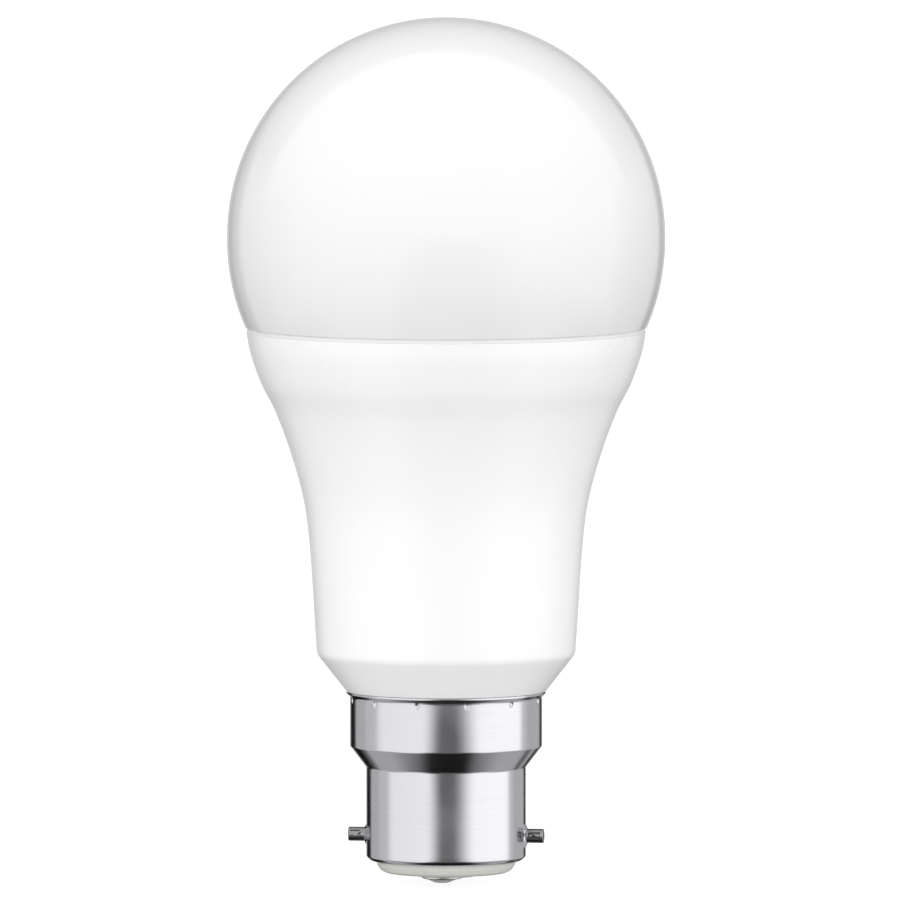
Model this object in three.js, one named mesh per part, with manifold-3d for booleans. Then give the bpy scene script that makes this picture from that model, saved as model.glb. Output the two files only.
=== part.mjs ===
// A smart LED light bulb with a B22d bayonet cap, as an assembly of separate solids.
// Millimetres, +Z up. The origin is on the bulb's axis, in the plane of the two solder contacts
// that touch the lampholder. The bayonet pins point along +X and -X, the contacts lie along Y.
import * as THREE from "three";
import { mergeVertices } from "three/addons/utils/BufferGeometryUtils.js";
import Module from "manifold-3d";

const wasm = await Module();
wasm.setup();

// ---- driving dimensions -------------------------------------------------------------------

const SEGMENTS = 40; // sides of every large round piece, so that nested shells stay parallel
const SMALL_SEGMENTS = 12; // sides of small round pieces
const FIT = 0.15; // radial gap between nested shells
const STACK_GAP = 0.03; // gap between pieces that lie flat on each other

// Globe
const GLOBE_RADIUS = 30;
const GLOBE_CENTRE_Z = 88.42; // centre of the upper hemisphere
const GLOBE_BAND = 0.48; // straight band between the two halves of the globe
const GLOBE_WALL = 1.3;
const GLOBE_EDGE_Z = 76.0; // lower outer edge
const GLOBE_EDGE_RADIUS = 27.2;
const SPIGOT_RADIUS = 25.45; // ring that plugs into the housing
const SPIGOT_WALL = 1.1;
const SPIGOT_BOTTOM_Z = 73.2;
const SPIGOT_ROOT_Z = 77.2; // inner corner where the spigot joins the sphere
const SEAL_SETBACK = 0.07; // from the housing's rim in to the seal ring

// Housing
const RIM_Z = 75.4;
const RIM_RADIUS = 27.35;
const HOUSING_WALL = 1.2;
const WAIST_RADIUS = 17.72; // corner between the tapered wall and the lower cone
const WAIST_Z = 31.45;
const CONE_BOTTOM_RADIUS = 13.72;
const CONE_BOTTOM_Z = 26.05;

// Cap, to the B22d/25x26 pattern
const CAP_WALL = 0.4;
const LIP_RADIUS = 13.68;
const LIP_TOP_Z = 26.0;
const LIP_EDGE = 0.12; // thickness of the lip's outer edge
const LIP_HEIGHT = 0.75; // height of the flare from the skirt out to the edge
const SKIRT_RADIUS = 13.18;
const SHOULDER_TOP_Z = 18.5;
const SHOULDER_BOTTOM_Z = 15.75;
const SHELL_RADIUS = 10.95;
const SHELL_BOTTOM_Z = 3.45;
const TURNED_IN_RADIUS = 9.65;
const TURNED_IN_Z = 2.45;
const STAKE_COUNT = 12; // punch marks that lock the skirt onto the housing
const STAKE_Z = 24.9;
const STAKE_PHASE = 20.7; // degrees from -Y to the first mark
const STAKE_DEPTH = 0.2;
const STAKE_BALL = 0.6; // radius of the punch

// Bayonet pins and contacts
const PIN_RADIUS = 0.97;
const PIN_TIP_X = 13.5;
const PIN_Z = 6.2;
const CONTACT_Y = 4.2;
const CONTACT_HALF_X = 2.7;
const CONTACT_HALF_Y = 2.3;
const CONTACT_PLATE_Z = [0.55, 0.95];
const EYELET_TOP_Z = 3.4;
const POCKET_GAP = 0.3; // gap round each contact plate, in its pocket in the insulator
const POCKET_FLOOR_Z = 0.99;
const SOLDER_RADIUS = 2.15;
const SOLDER_LAND = 0.75; // flat worn land under each solder dome

// Light engine stack
const CUP_WALL = 1.0;
const CUP_CLEARANCE = 0.35; // extra gap, as the cup's corners lie at other heights than the wall's
const CUP_TOP_Z = 72.3;
const CUP_BOTTOM_Z = 37.5;
const SEAT_TOP_Z = 70.85;
const SEAT_THICKNESS = 1.0;
const SEAT_BORE = 20.5;
const PLATE_RADIUS = 23.7;
const PLATE_THICKNESS = 1.2;
const PAD_RADIUS = 21.8;
const PAD_THICKNESS = 0.25;
const BOARD_RADIUS = 22.6;
const BOARD_THICKNESS = 1.0;
const PLATE_Z = SEAT_TOP_Z + STACK_GAP;
const PAD_Z = PLATE_Z + PLATE_THICKNESS + STACK_GAP;
const BOARD_Z = PAD_Z + PAD_THICKNESS + STACK_GAP;
const BOARD_TOP_Z = BOARD_Z + BOARD_THICKNESS;

// LED packages: two whites in turn on the outer ring, full-colour ones inside
const WHITE_LED_COUNT = 16;
const WHITE_LED_RING = 18.4;
const COLOUR_LED_COUNT = 4;
const COLOUR_LED_RING = 10.4;
const LED_SIZE = [3.5, 2.8, 0.7];
const LED_NOTCH = 0.6; // cut corner that marks the cathode

const SCREW_COUNT = 3;
const SCREW_RING = 14.2;
const SCREW_SHANK = 1.2;
const SCREW_LENGTH = 4.2;
const SCREW_HEAD_RADIUS = 2.2;
const SCREW_HEAD_HEIGHT = 1.4;

// Driver board, upright in the XZ plane
const DRIVER_BACK_Y = -3.6;
const DRIVER_FRONT_Y = -2.4;
const DRIVER_TOP_Z = 67.5;
const DRIVER_BOTTOM_Z = 20;
const DRIVER_HALF_TOP = 13.5;
const DRIVER_HALF_NECK = 9.4;
const DRIVER_STEP_Z = [38.5, 42.5];

// Wireless module, upright beside the driver board, antenna end above the LED board
const RADIO_HALF_X = 6.5;
const RADIO_Y = [0.5, 1.3];
const RADIO_Z = [58.5, 84.5];
const HEADER_PITCH = 2;
const HEADER_PINS = 4;
const HEADER_Y = -5.2;

// ---- helpers ------------------------------------------------------------------------------

const radians = THREE.MathUtils.degToRad;

function point(r, z) {
  return new THREE.Vector2(r, z);
}

// Points along an arc of a profile, both ends included. Angles are in degrees from +r towards +z.
function arc(centreR, centreZ, radius, fromAngle, toAngle, steps) {
  const points = [];
  for (let i = 0; i <= steps; i += 1) {
    const angle = radians(fromAngle + ((toAngle - fromAngle) * i) / steps);
    points.push(point(centreR + radius * Math.cos(angle), centreZ + radius * Math.sin(angle)));
  }
  return points;
}

// A profile of (radius, height) points turned round Z. It runs anticlockwise, radius to the right.
function revolve(profile, segments = SEGMENTS) {
  const geometry = new THREE.LatheGeometry(profile, segments);
  geometry.rotateX(Math.PI / 2);
  return geometry;
}

function ring(profile, segments = SEGMENTS) {
  return revolve([...profile, profile[0].clone()], segments);
}

// Each point of a profile moved sideways, to the left of the way the profile runs.
function offset(profile, distance) {
  return profile.map((p, i) => {
    const before = profile[Math.max(i - 1, 0)];
    const after = profile[Math.min(i + 1, profile.length - 1)];
    const along = after.clone().sub(before).normalize();
    return point(p.x - along.y * distance, p.y + along.x * distance);
  });
}

function block([x0, x1], [y0, y1], [z0, z1]) {
  const geometry = new THREE.BoxGeometry(x1 - x0, y1 - y0, z1 - z0);
  return geometry.translate((x0 + x1) / 2, (y0 + y1) / 2, (z0 + z1) / 2);
}

// A round bar from z0 to z1 on an axis parallel to Z.
function bar(radius, [x, y], [z0, z1], segments = SMALL_SEGMENTS) {
  const geometry = new THREE.CylinderGeometry(radius, radius, z1 - z0, segments);
  return geometry.rotateX(Math.PI / 2).translate(x, y, (z0 + z1) / 2);
}

function circleHole(radius, x, y) {
  const corners = onRing(SMALL_SEGMENTS, radius, 0).map((p) => new THREE.Vector2(x + p.x, y + p.y));
  return new THREE.Path(corners.reverse());
}

function boxHole([x0, x1], [y0, y1]) {
  const hole = new THREE.Path();
  hole.moveTo(x0, y0).lineTo(x0, y1).lineTo(x1, y1).lineTo(x1, y0).closePath();
  return hole;
}

function rectangle([x0, x1], [y0, y1]) {
  const shape = new THREE.Shape();
  shape.moveTo(x0, y0).lineTo(x1, y0).lineTo(x1, y1).lineTo(x0, y1).closePath();
  return shape;
}

// A flat outline in XY, thickened from z0 upwards.
function slab(shape, z0, thickness, curveSegments = SMALL_SEGMENTS / 2) {
  const options = { depth: thickness, bevelEnabled: false, curveSegments };
  return new THREE.ExtrudeGeometry(shape, options).translate(0, 0, z0);
}

// A flat outline drawn in XZ, thickened along Y from y0 to y1.
function upright(shape, [y0, y1], curveSegments = SMALL_SEGMENTS / 2) {
  const options = { depth: y1 - y0, bevelEnabled: false, curveSegments };
  const geometry = new THREE.ExtrudeGeometry(shape, options);
  return geometry.rotateX(Math.PI / 2).translate(0, y1, 0);
}

function solid(geometry) {
  const bare = geometry.clone();
  bare.deleteAttribute("normal");
  bare.deleteAttribute("uv");
  const merged = mergeVertices(bare, 1e-4);
  const vertProperties = merged.attributes.position.array;
  const triVerts = new Uint32Array(merged.index.array);
  return new wasm.Manifold(new wasm.Mesh({ numProp: 3, vertProperties, triVerts }));
}

function geometryOf(manifold) {
  const mesh = manifold.getMesh();
  const geometry = new THREE.BufferGeometry();
  geometry.setAttribute("position", new THREE.BufferAttribute(mesh.vertProperties, 3));
  geometry.setIndex(new THREE.BufferAttribute(mesh.triVerts, 1));
  geometry.computeVertexNormals();
  return geometry;
}

function join(...geometries) {
  return geometryOf(geometries.map(solid).reduce((sum, next) => sum.add(next)));
}

function cut(geometry, ...tools) {
  return geometryOf(tools.map(solid).reduce((sum, next) => sum.subtract(next), solid(geometry)));
}

function onRing(count, radius, phase) {
  return Array.from({ length: count }, (_, i) => {
    const angle = radians(phase + (360 * i) / count);
    return { x: radius * Math.cos(angle), y: radius * Math.sin(angle), angle };
  });
}

// ---- materials ----------------------------------------------------------------------------

function finish(color, roughness, metalness = 0) {
  return new THREE.MeshStandardMaterial({ color, roughness, metalness });
}

const OPAL = finish(0xf4f4f3, 0.25);
const HOUSING_WHITE = finish(0xf5f5f4, 0.35);
const SILICONE = finish(0xfbfbfa, 0.5);
const CAP_METAL = finish(0xb9b8bd, 0.28, 1);
const INSULATOR = finish(0xd6d8cf, 0.45);
const SOLDER = finish(0xc7c8c6, 0.35, 1);
const TINNED = finish(0xc4c4c1, 0.32, 1);
const ALUMINIUM = finish(0xc6c8ca, 0.4, 1);
const THERMAL_GREY = finish(0x8f9499, 0.8);
const BOARD_WHITE = finish(0xf2f2ee, 0.45);
const FR4_GREEN = finish(0x2d6a44, 0.5);
const RADIO_BLUE = finish(0x1d3d63, 0.45);
const LED_WARM = finish(0xf2b544, 0.4);
const LED_COOL = finish(0xf0dc5a, 0.4);
const LED_COLOUR = finish(0xeceae2, 0.3);
const STEEL = finish(0xb4b6b8, 0.35, 1);
const COPPER = finish(0xc07a45, 0.35, 1);
const FERRITE = finish(0x3a3a3d, 0.6);
const BLACK_PLASTIC = finish(0x222326, 0.45);
const CAPACITOR_SLEEVE = finish(0x1f2a4a, 0.35);
const FILM_YELLOW = finish(0xd9a33a, 0.4);
const VARISTOR_BLUE = finish(0x2f62b0, 0.45);
const RESISTOR_TAN = finish(0xbfa27a, 0.5);
const BOBBIN_PLASTIC = finish(0x2b2b2e, 0.5);
const LIVE_BROWN = finish(0x7a4a2c, 0.55);
const NEUTRAL_BLUE = finish(0x3568b8, 0.55);

const bulb = new THREE.Group();

function add(name, geometry, material) {
  const mesh = new THREE.Mesh(geometry, material);
  mesh.name = name;
  bulb.add(mesh);
  return mesh;
}

// ---- globe --------------------------------------------------------------------------------

// Opal shell: a sphere with a short straight band, tucked in at its edge, over a plug-in spigot.
function globeShell() {
  const lowerCentre = GLOBE_CENTRE_Z - GLOBE_BAND;
  const inner = GLOBE_RADIUS - GLOBE_WALL;
  const spigotBore = SPIGOT_RADIUS - SPIGOT_WALL;
  const edgeRise = GLOBE_EDGE_Z + 0.85 - lowerCentre;
  const edgeAngle = THREE.MathUtils.radToDeg(Math.asin(edgeRise / GLOBE_RADIUS));
  const rootAngle = THREE.MathUtils.radToDeg(Math.asin((SPIGOT_ROOT_Z - lowerCentre) / inner));
  return revolve([
    point(0, GLOBE_CENTRE_Z + inner),
    ...arc(0, GLOBE_CENTRE_Z, inner, 80, 0, 5),
    ...arc(0, lowerCentre, inner, 0, rootAngle, 2),
    point(spigotBore, SPIGOT_ROOT_Z - 0.2),
    point(spigotBore, SPIGOT_BOTTOM_Z),
    point(SPIGOT_RADIUS - 0.4, SPIGOT_BOTTOM_Z),
    point(SPIGOT_RADIUS, SPIGOT_BOTTOM_Z + 0.6),
    point(SPIGOT_RADIUS, GLOBE_EDGE_Z),
    point(GLOBE_EDGE_RADIUS - 0.15, GLOBE_EDGE_Z),
    point(GLOBE_EDGE_RADIUS + 0.2, GLOBE_EDGE_Z + 0.2),
    ...arc(0, lowerCentre, GLOBE_RADIUS, edgeAngle, 0, 3),
    ...arc(0, GLOBE_CENTRE_Z, GLOBE_RADIUS, 0, 84, 10),
    point(0, GLOBE_CENTRE_Z + GLOBE_RADIUS),
  ]);
}

// Silicone ring between the globe's edge and the housing's rim, almost flush with the rim.
function sealRing() {
  const low = RIM_Z + STACK_GAP;
  const high = GLOBE_EDGE_Z - STACK_GAP;
  const outer = RIM_RADIUS - SEAL_SETBACK;
  return ring([
    point(SPIGOT_RADIUS + 0.1, low),
    point(outer - 0.12, low),
    point(outer, (low + high) / 2),
    point(outer - 0.12, high),
    point(SPIGOT_RADIUS + 0.1, high),
  ]);
}

// ---- housing ------------------------------------------------------------------------------

// The outer wall from the waist up to the rim: a long concave flare, then a convex shoulder.
const HOUSING_WALL_CURVE = new THREE.SplineCurve([
  point(WAIST_RADIUS, WAIST_Z),
  point(18.05, 36.2),
  point(18.62, 45.0),
  point(19.45, 51.9),
  point(21.2, 58.45),
  point(23.35, 64.3),
  point(25.4, 68.4),
  point(26.85, 72.6),
  point(RIM_RADIUS, RIM_Z),
]);

// Points of that wall between two heights, bottom to top.
function wallBetween(low, high, steps) {
  const fine = HOUSING_WALL_CURVE.getPoints(400);
  const radiusAt = (z) => {
    const i = Math.max(1, fine.findIndex((p) => p.y >= z - 1e-6));
    const [a, b] = [fine[i - 1], fine[i]];
    return a.x + ((b.x - a.x) * (z - a.y)) / (b.y - a.y);
  };
  return Array.from({ length: steps + 1 }, (_, i) => {
    const z = low + ((high - low) * i) / steps;
    return point(radiusAt(z), z);
  });
}

const NECK_RADIUS = SKIRT_RADIUS - CAP_WALL - FIT; // spigot inside the cap's skirt
const NECK_BORE = NECK_RADIUS - 1.4;
const NECK_BOTTOM_Z = 19.0;

function housingShell() {
  const outside = wallBetween(WAIST_Z, RIM_Z, 11);
  const inside = offset(wallBetween(WAIST_Z, RIM_Z, 6), HOUSING_WALL).reverse();
  inside[0].y = RIM_Z;
  inside[inside.length - 1].y = WAIST_Z + 0.4;
  const shell = ring([
    point(NECK_BORE, NECK_BOTTOM_Z),
    point(NECK_RADIUS - 0.5, NECK_BOTTOM_Z),
    point(NECK_RADIUS, NECK_BOTTOM_Z + 0.6),
    point(NECK_RADIUS, CONE_BOTTOM_Z),
    point(CONE_BOTTOM_RADIUS, CONE_BOTTOM_Z),
    ...outside,
    ...inside,
    point(NECK_BORE, CONE_BOTTOM_Z + 1.4),
  ]);
  return join(shell, ...driverRails());
}

// Two pairs of ribs in the neck that hold the edges of the driver board.
function driverRails() {
  const middle = (DRIVER_BACK_Y + DRIVER_FRONT_Y) / 2;
  const rails = [];
  for (const side of [-1, 1]) {
    for (const face of [-1, 1]) {
      const near = middle + face * 0.85;
      const far = middle + face * 1.85;
      const xs = [side * (DRIVER_HALF_NECK - 0.9), side * (NECK_RADIUS - 0.95)].sort((a, b) => a - b);
      rails.push(block(xs, [near, far].sort((a, b) => a - b), [NECK_BOTTOM_Z + 1, CONE_BOTTOM_Z + 1]));
    }
  }
  return rails;
}

// Aluminium cup that lines the housing, with an inward seat for the spreader plate.
function heatSinkCup() {
  const toCup = HOUSING_WALL + FIT + CUP_CLEARANCE;
  const outside = offset(wallBetween(CUP_BOTTOM_Z, CUP_TOP_Z, 6), toCup);
  const seatBottom = SEAT_TOP_Z - SEAT_THICKNESS;
  const insideLow = offset(wallBetween(CUP_BOTTOM_Z, seatBottom, 5), toCup + CUP_WALL);
  const insideHigh = offset(wallBetween(SEAT_TOP_Z, CUP_TOP_Z, 1), toCup + CUP_WALL);
  outside[0].y = CUP_BOTTOM_Z;
  insideLow[0].y = CUP_BOTTOM_Z;
  insideLow[insideLow.length - 1].y = seatBottom;
  insideHigh[0].y = SEAT_TOP_Z;
  outside[outside.length - 1].y = CUP_TOP_Z;
  insideHigh[insideHigh.length - 1].y = CUP_TOP_Z;
  return ring([
    ...outside,
    ...insideHigh.reverse(),
    point(SEAT_BORE, SEAT_TOP_Z),
    point(SEAT_BORE, seatBottom),
    ...insideLow.reverse(),
  ]);
}

// ---- light engine -------------------------------------------------------------------------

const SCREW_PLACES = onRing(SCREW_COUNT, SCREW_RING, 30);
const RADIO_SLOT = [[-RADIO_HALF_X - 0.6, RADIO_HALF_X + 0.6], [RADIO_Y[0] - 0.6, RADIO_Y[1] + 0.6]];
const HEADER_HALF_X = (HEADER_PITCH * HEADER_PINS) / 2 + 0.3;
const HEADER_SLOT = [[-HEADER_HALF_X, HEADER_HALF_X], [HEADER_Y - 0.9, HEADER_Y + 0.9]];

// A disc with the openings that every layer of the stack shares.
function stackLayer(radius, z0, thickness, screwHole) {
  const shape = new THREE.Shape();
  shape.absarc(0, 0, radius, 0, 2 * Math.PI);
  shape.holes.push(boxHole(...RADIO_SLOT), boxHole(...HEADER_SLOT));
  for (const { x, y } of SCREW_PLACES) {
    shape.holes.push(circleHole(screwHole, x, y));
  }
  return slab(shape, z0, thickness, SEGMENTS / 2);
}

// A surface-mount package with one cut corner.
function ledPackage() {
  const [length, width, height] = LED_SIZE;
  const [x, y] = [length / 2, width / 2];
  const shape = new THREE.Shape();
  shape.moveTo(-x, -y).lineTo(x, -y).lineTo(x, y - LED_NOTCH);
  shape.lineTo(x - LED_NOTCH, y).lineTo(-x, y).closePath();
  return slab(shape, 0, height);
}

function addLeds() {
  const z = BOARD_TOP_Z + STACK_GAP;
  onRing(WHITE_LED_COUNT, WHITE_LED_RING, 0).forEach(({ x, y, angle }, i) => {
    const warm = i % 2 === 0;
    const name = `led_${warm ? "warm" : "cool"}_white_${Math.floor(i / 2) + 1}`;
    const led = add(name, ledPackage(), warm ? LED_WARM : LED_COOL);
    led.position.set(x, y, z);
    led.rotation.z = angle + Math.PI / 2;
  });
  onRing(COLOUR_LED_COUNT, COLOUR_LED_RING, 45).forEach(({ x, y, angle }, i) => {
    const led = add(`led_colour_${i + 1}`, ledPackage(), LED_COLOUR);
    led.position.set(x, y, z);
    led.rotation.z = angle + Math.PI / 2;
  });
}

// Pan-head screw with a cross recess, standing on its tip's axis with the head's seat at z = 0.
function boardScrew() {
  const blank = revolve(
    [
      point(0, -SCREW_LENGTH),
      point(SCREW_SHANK * 0.5, -SCREW_LENGTH),
      point(SCREW_SHANK, -SCREW_LENGTH + 0.9),
      point(SCREW_SHANK, 0),
      point(SCREW_HEAD_RADIUS, 0),
      point(SCREW_HEAD_RADIUS, SCREW_HEAD_HEIGHT * 0.45),
      point(SCREW_HEAD_RADIUS * 0.8, SCREW_HEAD_HEIGHT * 0.85),
      point(SCREW_HEAD_RADIUS * 0.45, SCREW_HEAD_HEIGHT),
      point(0, SCREW_HEAD_HEIGHT),
    ],
    SMALL_SEGMENTS,
  );
  const arm = 1.15;
  const half = 0.25;
  const depth = [SCREW_HEAD_HEIGHT - 0.8, SCREW_HEAD_HEIGHT + 0.2];
  return cut(blank, block([-arm, arm], [-half, half], depth), block([-half, half], [-arm, arm], depth));
}

function addScrews() {
  SCREW_PLACES.forEach(({ x, y }, i) => {
    const screw = add(`led_board_screw_${i + 1}`, boardScrew(), STEEL);
    screw.position.set(x, y, BOARD_TOP_Z + STACK_GAP);
  });
}

const SOCKET_HEIGHT = 2.4;
const HEADER_XS = Array.from({ length: HEADER_PINS }, (_, i) => (i - (HEADER_PINS - 1) / 2) * HEADER_PITCH);

// White socket on the LED board, open through its height where the driver's pins come up.
function pinSocket() {
  const [low, high] = [BOARD_TOP_Z + STACK_GAP, BOARD_TOP_Z + STACK_GAP + SOCKET_HEIGHT];
  const halfX = HEADER_HALF_X + 0.9;
  const body = block([-halfX, halfX], [HEADER_Y - 1.7, HEADER_Y + 1.7], [low, high]);
  const wells = HEADER_XS.map((x) =>
    block([x - 0.55, x + 0.55], [HEADER_Y - 0.55, HEADER_Y + 0.55], [low - 1, high + 1]),
  );
  return cut(body, ...wells);
}

// Plastic bar on the back of the driver board with four square pins that reach up into the socket.
function pinHeader() {
  const strip = block(
    [-HEADER_HALF_X, HEADER_HALF_X],
    [HEADER_Y - 0.8, DRIVER_BACK_Y - 0.05],
    [DRIVER_TOP_Z - 4, DRIVER_TOP_Z - 1.5],
  );
  const pins = HEADER_XS.map((x) =>
    block([x - 0.32, x + 0.32], [HEADER_Y - 0.32, HEADER_Y + 0.32], [DRIVER_TOP_Z - 6, BOARD_TOP_Z + 1.8]),
  );
  return join(strip, ...pins);
}

// ---- wireless module ----------------------------------------------------------------------

const SHIELD_Y = [RADIO_Y[1] + STACK_GAP, RADIO_Y[1] + 1.7];

function shieldCan() {
  const can = block([-5.2, 5.2], SHIELD_Y, [59.6, 69.4]);
  const inside = block([-4.95, 4.95], [SHIELD_Y[0] - 1, SHIELD_Y[1] - 0.25], [59.85, 69.15]);
  return cut(can, inside);
}

// Folded trace of the printed antenna, drawn as one line of constant width.
function antennaTrace() {
  const width = 0.7;
  const reach = 5.3;
  const pitch = 1.45;
  const turns = 5;
  const low = 76.4;
  const bars = [];
  for (let i = 0; i < turns; i += 1) {
    const z = low + i * pitch;
    bars.push(block([-reach, reach], [0, 0.08], [z, z + width]));
    if (i < turns - 1) {
      const x = i % 2 === 0 ? reach - width : -reach;
      bars.push(block([x, x + width], [0, 0.08], [z, z + pitch + width]));
    }
  }
  bars.push(block([-reach, -reach + width], [0, 0.08], [low - 1.8, low + width]));
  return join(...bars).translate(0, RADIO_Y[1] + STACK_GAP, 0);
}

// Row of short pins that ties the wireless module to the driver board.
function moduleHeader() {
  const body = block([-5.6, 5.6], [-1.2, RADIO_Y[0] - 0.05], [59.6, 61.8]);
  const legs = [-5, -3, -1, 1, 3, 5].map((x) =>
    block([x - 0.25, x + 0.25], [DRIVER_FRONT_Y + 0.05, -1.1], [60.4, 60.9]),
  );
  return join(body, ...legs);
}

// ---- driver -------------------------------------------------------------------------------

function driverBoard() {
  const shape = new THREE.Shape();
  const [stepLow, stepHigh] = DRIVER_STEP_Z;
  shape.moveTo(-DRIVER_HALF_NECK, DRIVER_BOTTOM_Z).lineTo(DRIVER_HALF_NECK, DRIVER_BOTTOM_Z);
  shape.lineTo(DRIVER_HALF_NECK, stepLow).lineTo(DRIVER_HALF_TOP, stepHigh);
  shape.lineTo(DRIVER_HALF_TOP, DRIVER_TOP_Z).lineTo(-DRIVER_HALF_TOP, DRIVER_TOP_Z);
  shape.lineTo(-DRIVER_HALF_TOP, stepHigh).lineTo(-DRIVER_HALF_NECK, stepLow).closePath();
  return upright(shape, [DRIVER_BACK_Y, DRIVER_FRONT_Y]);
}

// Electrolytic can lying along Z beside the driver board, on two legs that bend back to it.
function electrolytic(radius, height, toBoard) {
  const can = revolve(
    [
      point(0, 0),
      point(radius - 0.5, 0),
      point(radius, 0.5),
      point(radius, 1.6),
      point(radius - 0.35, 2.1),
      point(radius, 2.6),
      point(radius, height - 0.6),
      point(radius - 0.6, height),
      point(radius - 1.2, height - 0.25),
      point(0, height - 0.25),
    ],
    SMALL_SEGMENTS + 4,
  );
  const legs = [-1.3, 1.3].map((x) => bar(0.3, [x, 0], [-1.6, 0.4], 8));
  const feet = [-1.3, 1.3].map((x) => block([x - 0.25, x + 0.25], [0.05 - toBoard, 0.2], [-1.7, -1.2]));
  return join(can, ...legs, ...feet);
}

// Ferrite core of the transformer: two E halves closed on each other, windows left and right.
function transformerCore() {
  const [depth, window] = [[-2.5, 2.5], [-4.5, 4.5]];
  const body = block([-6.5, 6.5], depth, [-6.3, 6.3]);
  return cut(body, block([-4.5, -1.9], [-3, 3], window), block([1.9, 4.5], [-3, 3], window));
}

// Bobbin: a tube on the middle leg with a flange at each end and a pin rail towards the board.
function transformerBobbin() {
  const bore = boxHole([-2.05, 2.05], [-2.65, 2.65]);
  const tube = rectangle([-2.3, 2.3], [-2.9, 2.9]);
  const flange = rectangle([-4.35, 4.35], [-4.9, 4.9]);
  tube.holes.push(bore);
  flange.holes.push(bore);
  const rail = block([-4.35, 4.35], [-5.9, -4.7], [-4.35, -3.1]);
  const pins = [-3, -1, 1, 3].map((x) => block([x - 0.3, x + 0.3], [-6.45, -5.8], [-4.0, -3.4]));
  return join(slab(tube, -4.2, 8.4), slab(flange, -4.35, 0.6), slab(flange, 3.75, 0.6), rail, ...pins);
}

function transformerWinding() {
  const turns = new THREE.Shape();
  const [x, y, r] = [4.1, 4.6, 1.5];
  turns.moveTo(-x + r, -y).lineTo(x - r, -y).absarc(x - r, -y + r, r, -Math.PI / 2, 0);
  turns.lineTo(x, y - r).absarc(x - r, y - r, r, 0, Math.PI / 2);
  turns.lineTo(-x + r, y).absarc(-x + r, y - r, r, Math.PI / 2, Math.PI);
  turns.lineTo(-x, -y + r).absarc(-x + r, -y + r, r, Math.PI, 1.5 * Math.PI);
  turns.holes.push(boxHole([-2.4, 2.4], [-3.0, 3.0]));
  return slab(turns, -3.65, 7.3, 3);
}

function chokeCore() {
  return revolve(
    [
      point(0, -4),
      point(4, -4),
      point(4, -3),
      point(2, -2.8),
      point(2, 2.8),
      point(4, 3),
      point(4, 4),
      point(0, 4),
    ],
    20,
  );
}

// Copper coil on the drum core, with two ends that run back to the board.
function chokeWinding() {
  const profile = [point(2.1, -2.6), point(3.4, -2.6), point(3.65, 0), point(3.4, 2.6), point(2.1, 2.6)];
  const coil = ring(profile, 20);
  const ends = [-1.3, 1.3].map((x) => block([x - 0.25, x + 0.25], [-4.35, -2.8], [x - 0.25, x + 0.25]));
  return join(coil, ...ends);
}

function filmCapacitor() {
  const body = block([-4.2, 4.2], [-4.6, -1], [-4.5, 4.5]);
  const legs = [-2.5, 2.5].map((z) => block([-0.3, 0.3], [-1.1, -0.05], [z - 0.3, z + 0.3]));
  return join(body, ...legs);
}

// A disc with its axis along Y, and two legs that go into the board behind it.
function varistor() {
  const disc = new THREE.CylinderGeometry(3.5, 3.5, 2.4, 20).translate(0, -2.4, 0);
  const legs = [-1.6, 1.6].map((x) => block([x - 0.3, x + 0.3], [-1.3, -0.05], [-0.3, 0.3]));
  return join(disc, ...legs);
}

// Through-hole resistor along Z: a body with swollen ends and one bent leg at each end.
function fusibleResistor() {
  const body = revolve(
    [
      point(0, -4.5),
      point(1.2, -4.5),
      point(1.6, -3.8),
      point(1.6, -3),
      point(1.35, -2.6),
      point(1.35, 2.6),
      point(1.6, 3),
      point(1.6, 3.8),
      point(1.2, 4.5),
      point(0, 4.5),
    ],
    SMALL_SEGMENTS,
  );
  const wires = [-1, 1].map((end) => bar(0.3, [0, 0], end < 0 ? [-5.4, -4.3] : [4.3, 5.4], 8));
  const feet = [-5.25, 5.25].map((z) => block([-0.25, 0.25], [-1.75, 0.1], [z - 0.25, z + 0.15]));
  return join(body, ...wires, ...feet);
}

// Flat moulded package with square legs on two sides, its underside towards +Y.
function chipPackage(halfX, height, halfZ, legsPerSide) {
  const body = block([-halfX, halfX], [-height, -0.15], [-halfZ, halfZ]);
  const legs = [];
  for (let i = 0; i < legsPerSide; i += 1) {
    const z = (i - (legsPerSide - 1) / 2) * ((1.7 * halfZ) / legsPerSide);
    const thick = 0.18;
    legs.push(block([-halfX - 0.9, halfX + 0.9], [-0.4, -0.05], [z - thick, z + thick]));
  }
  return join(body, ...legs);
}

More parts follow.
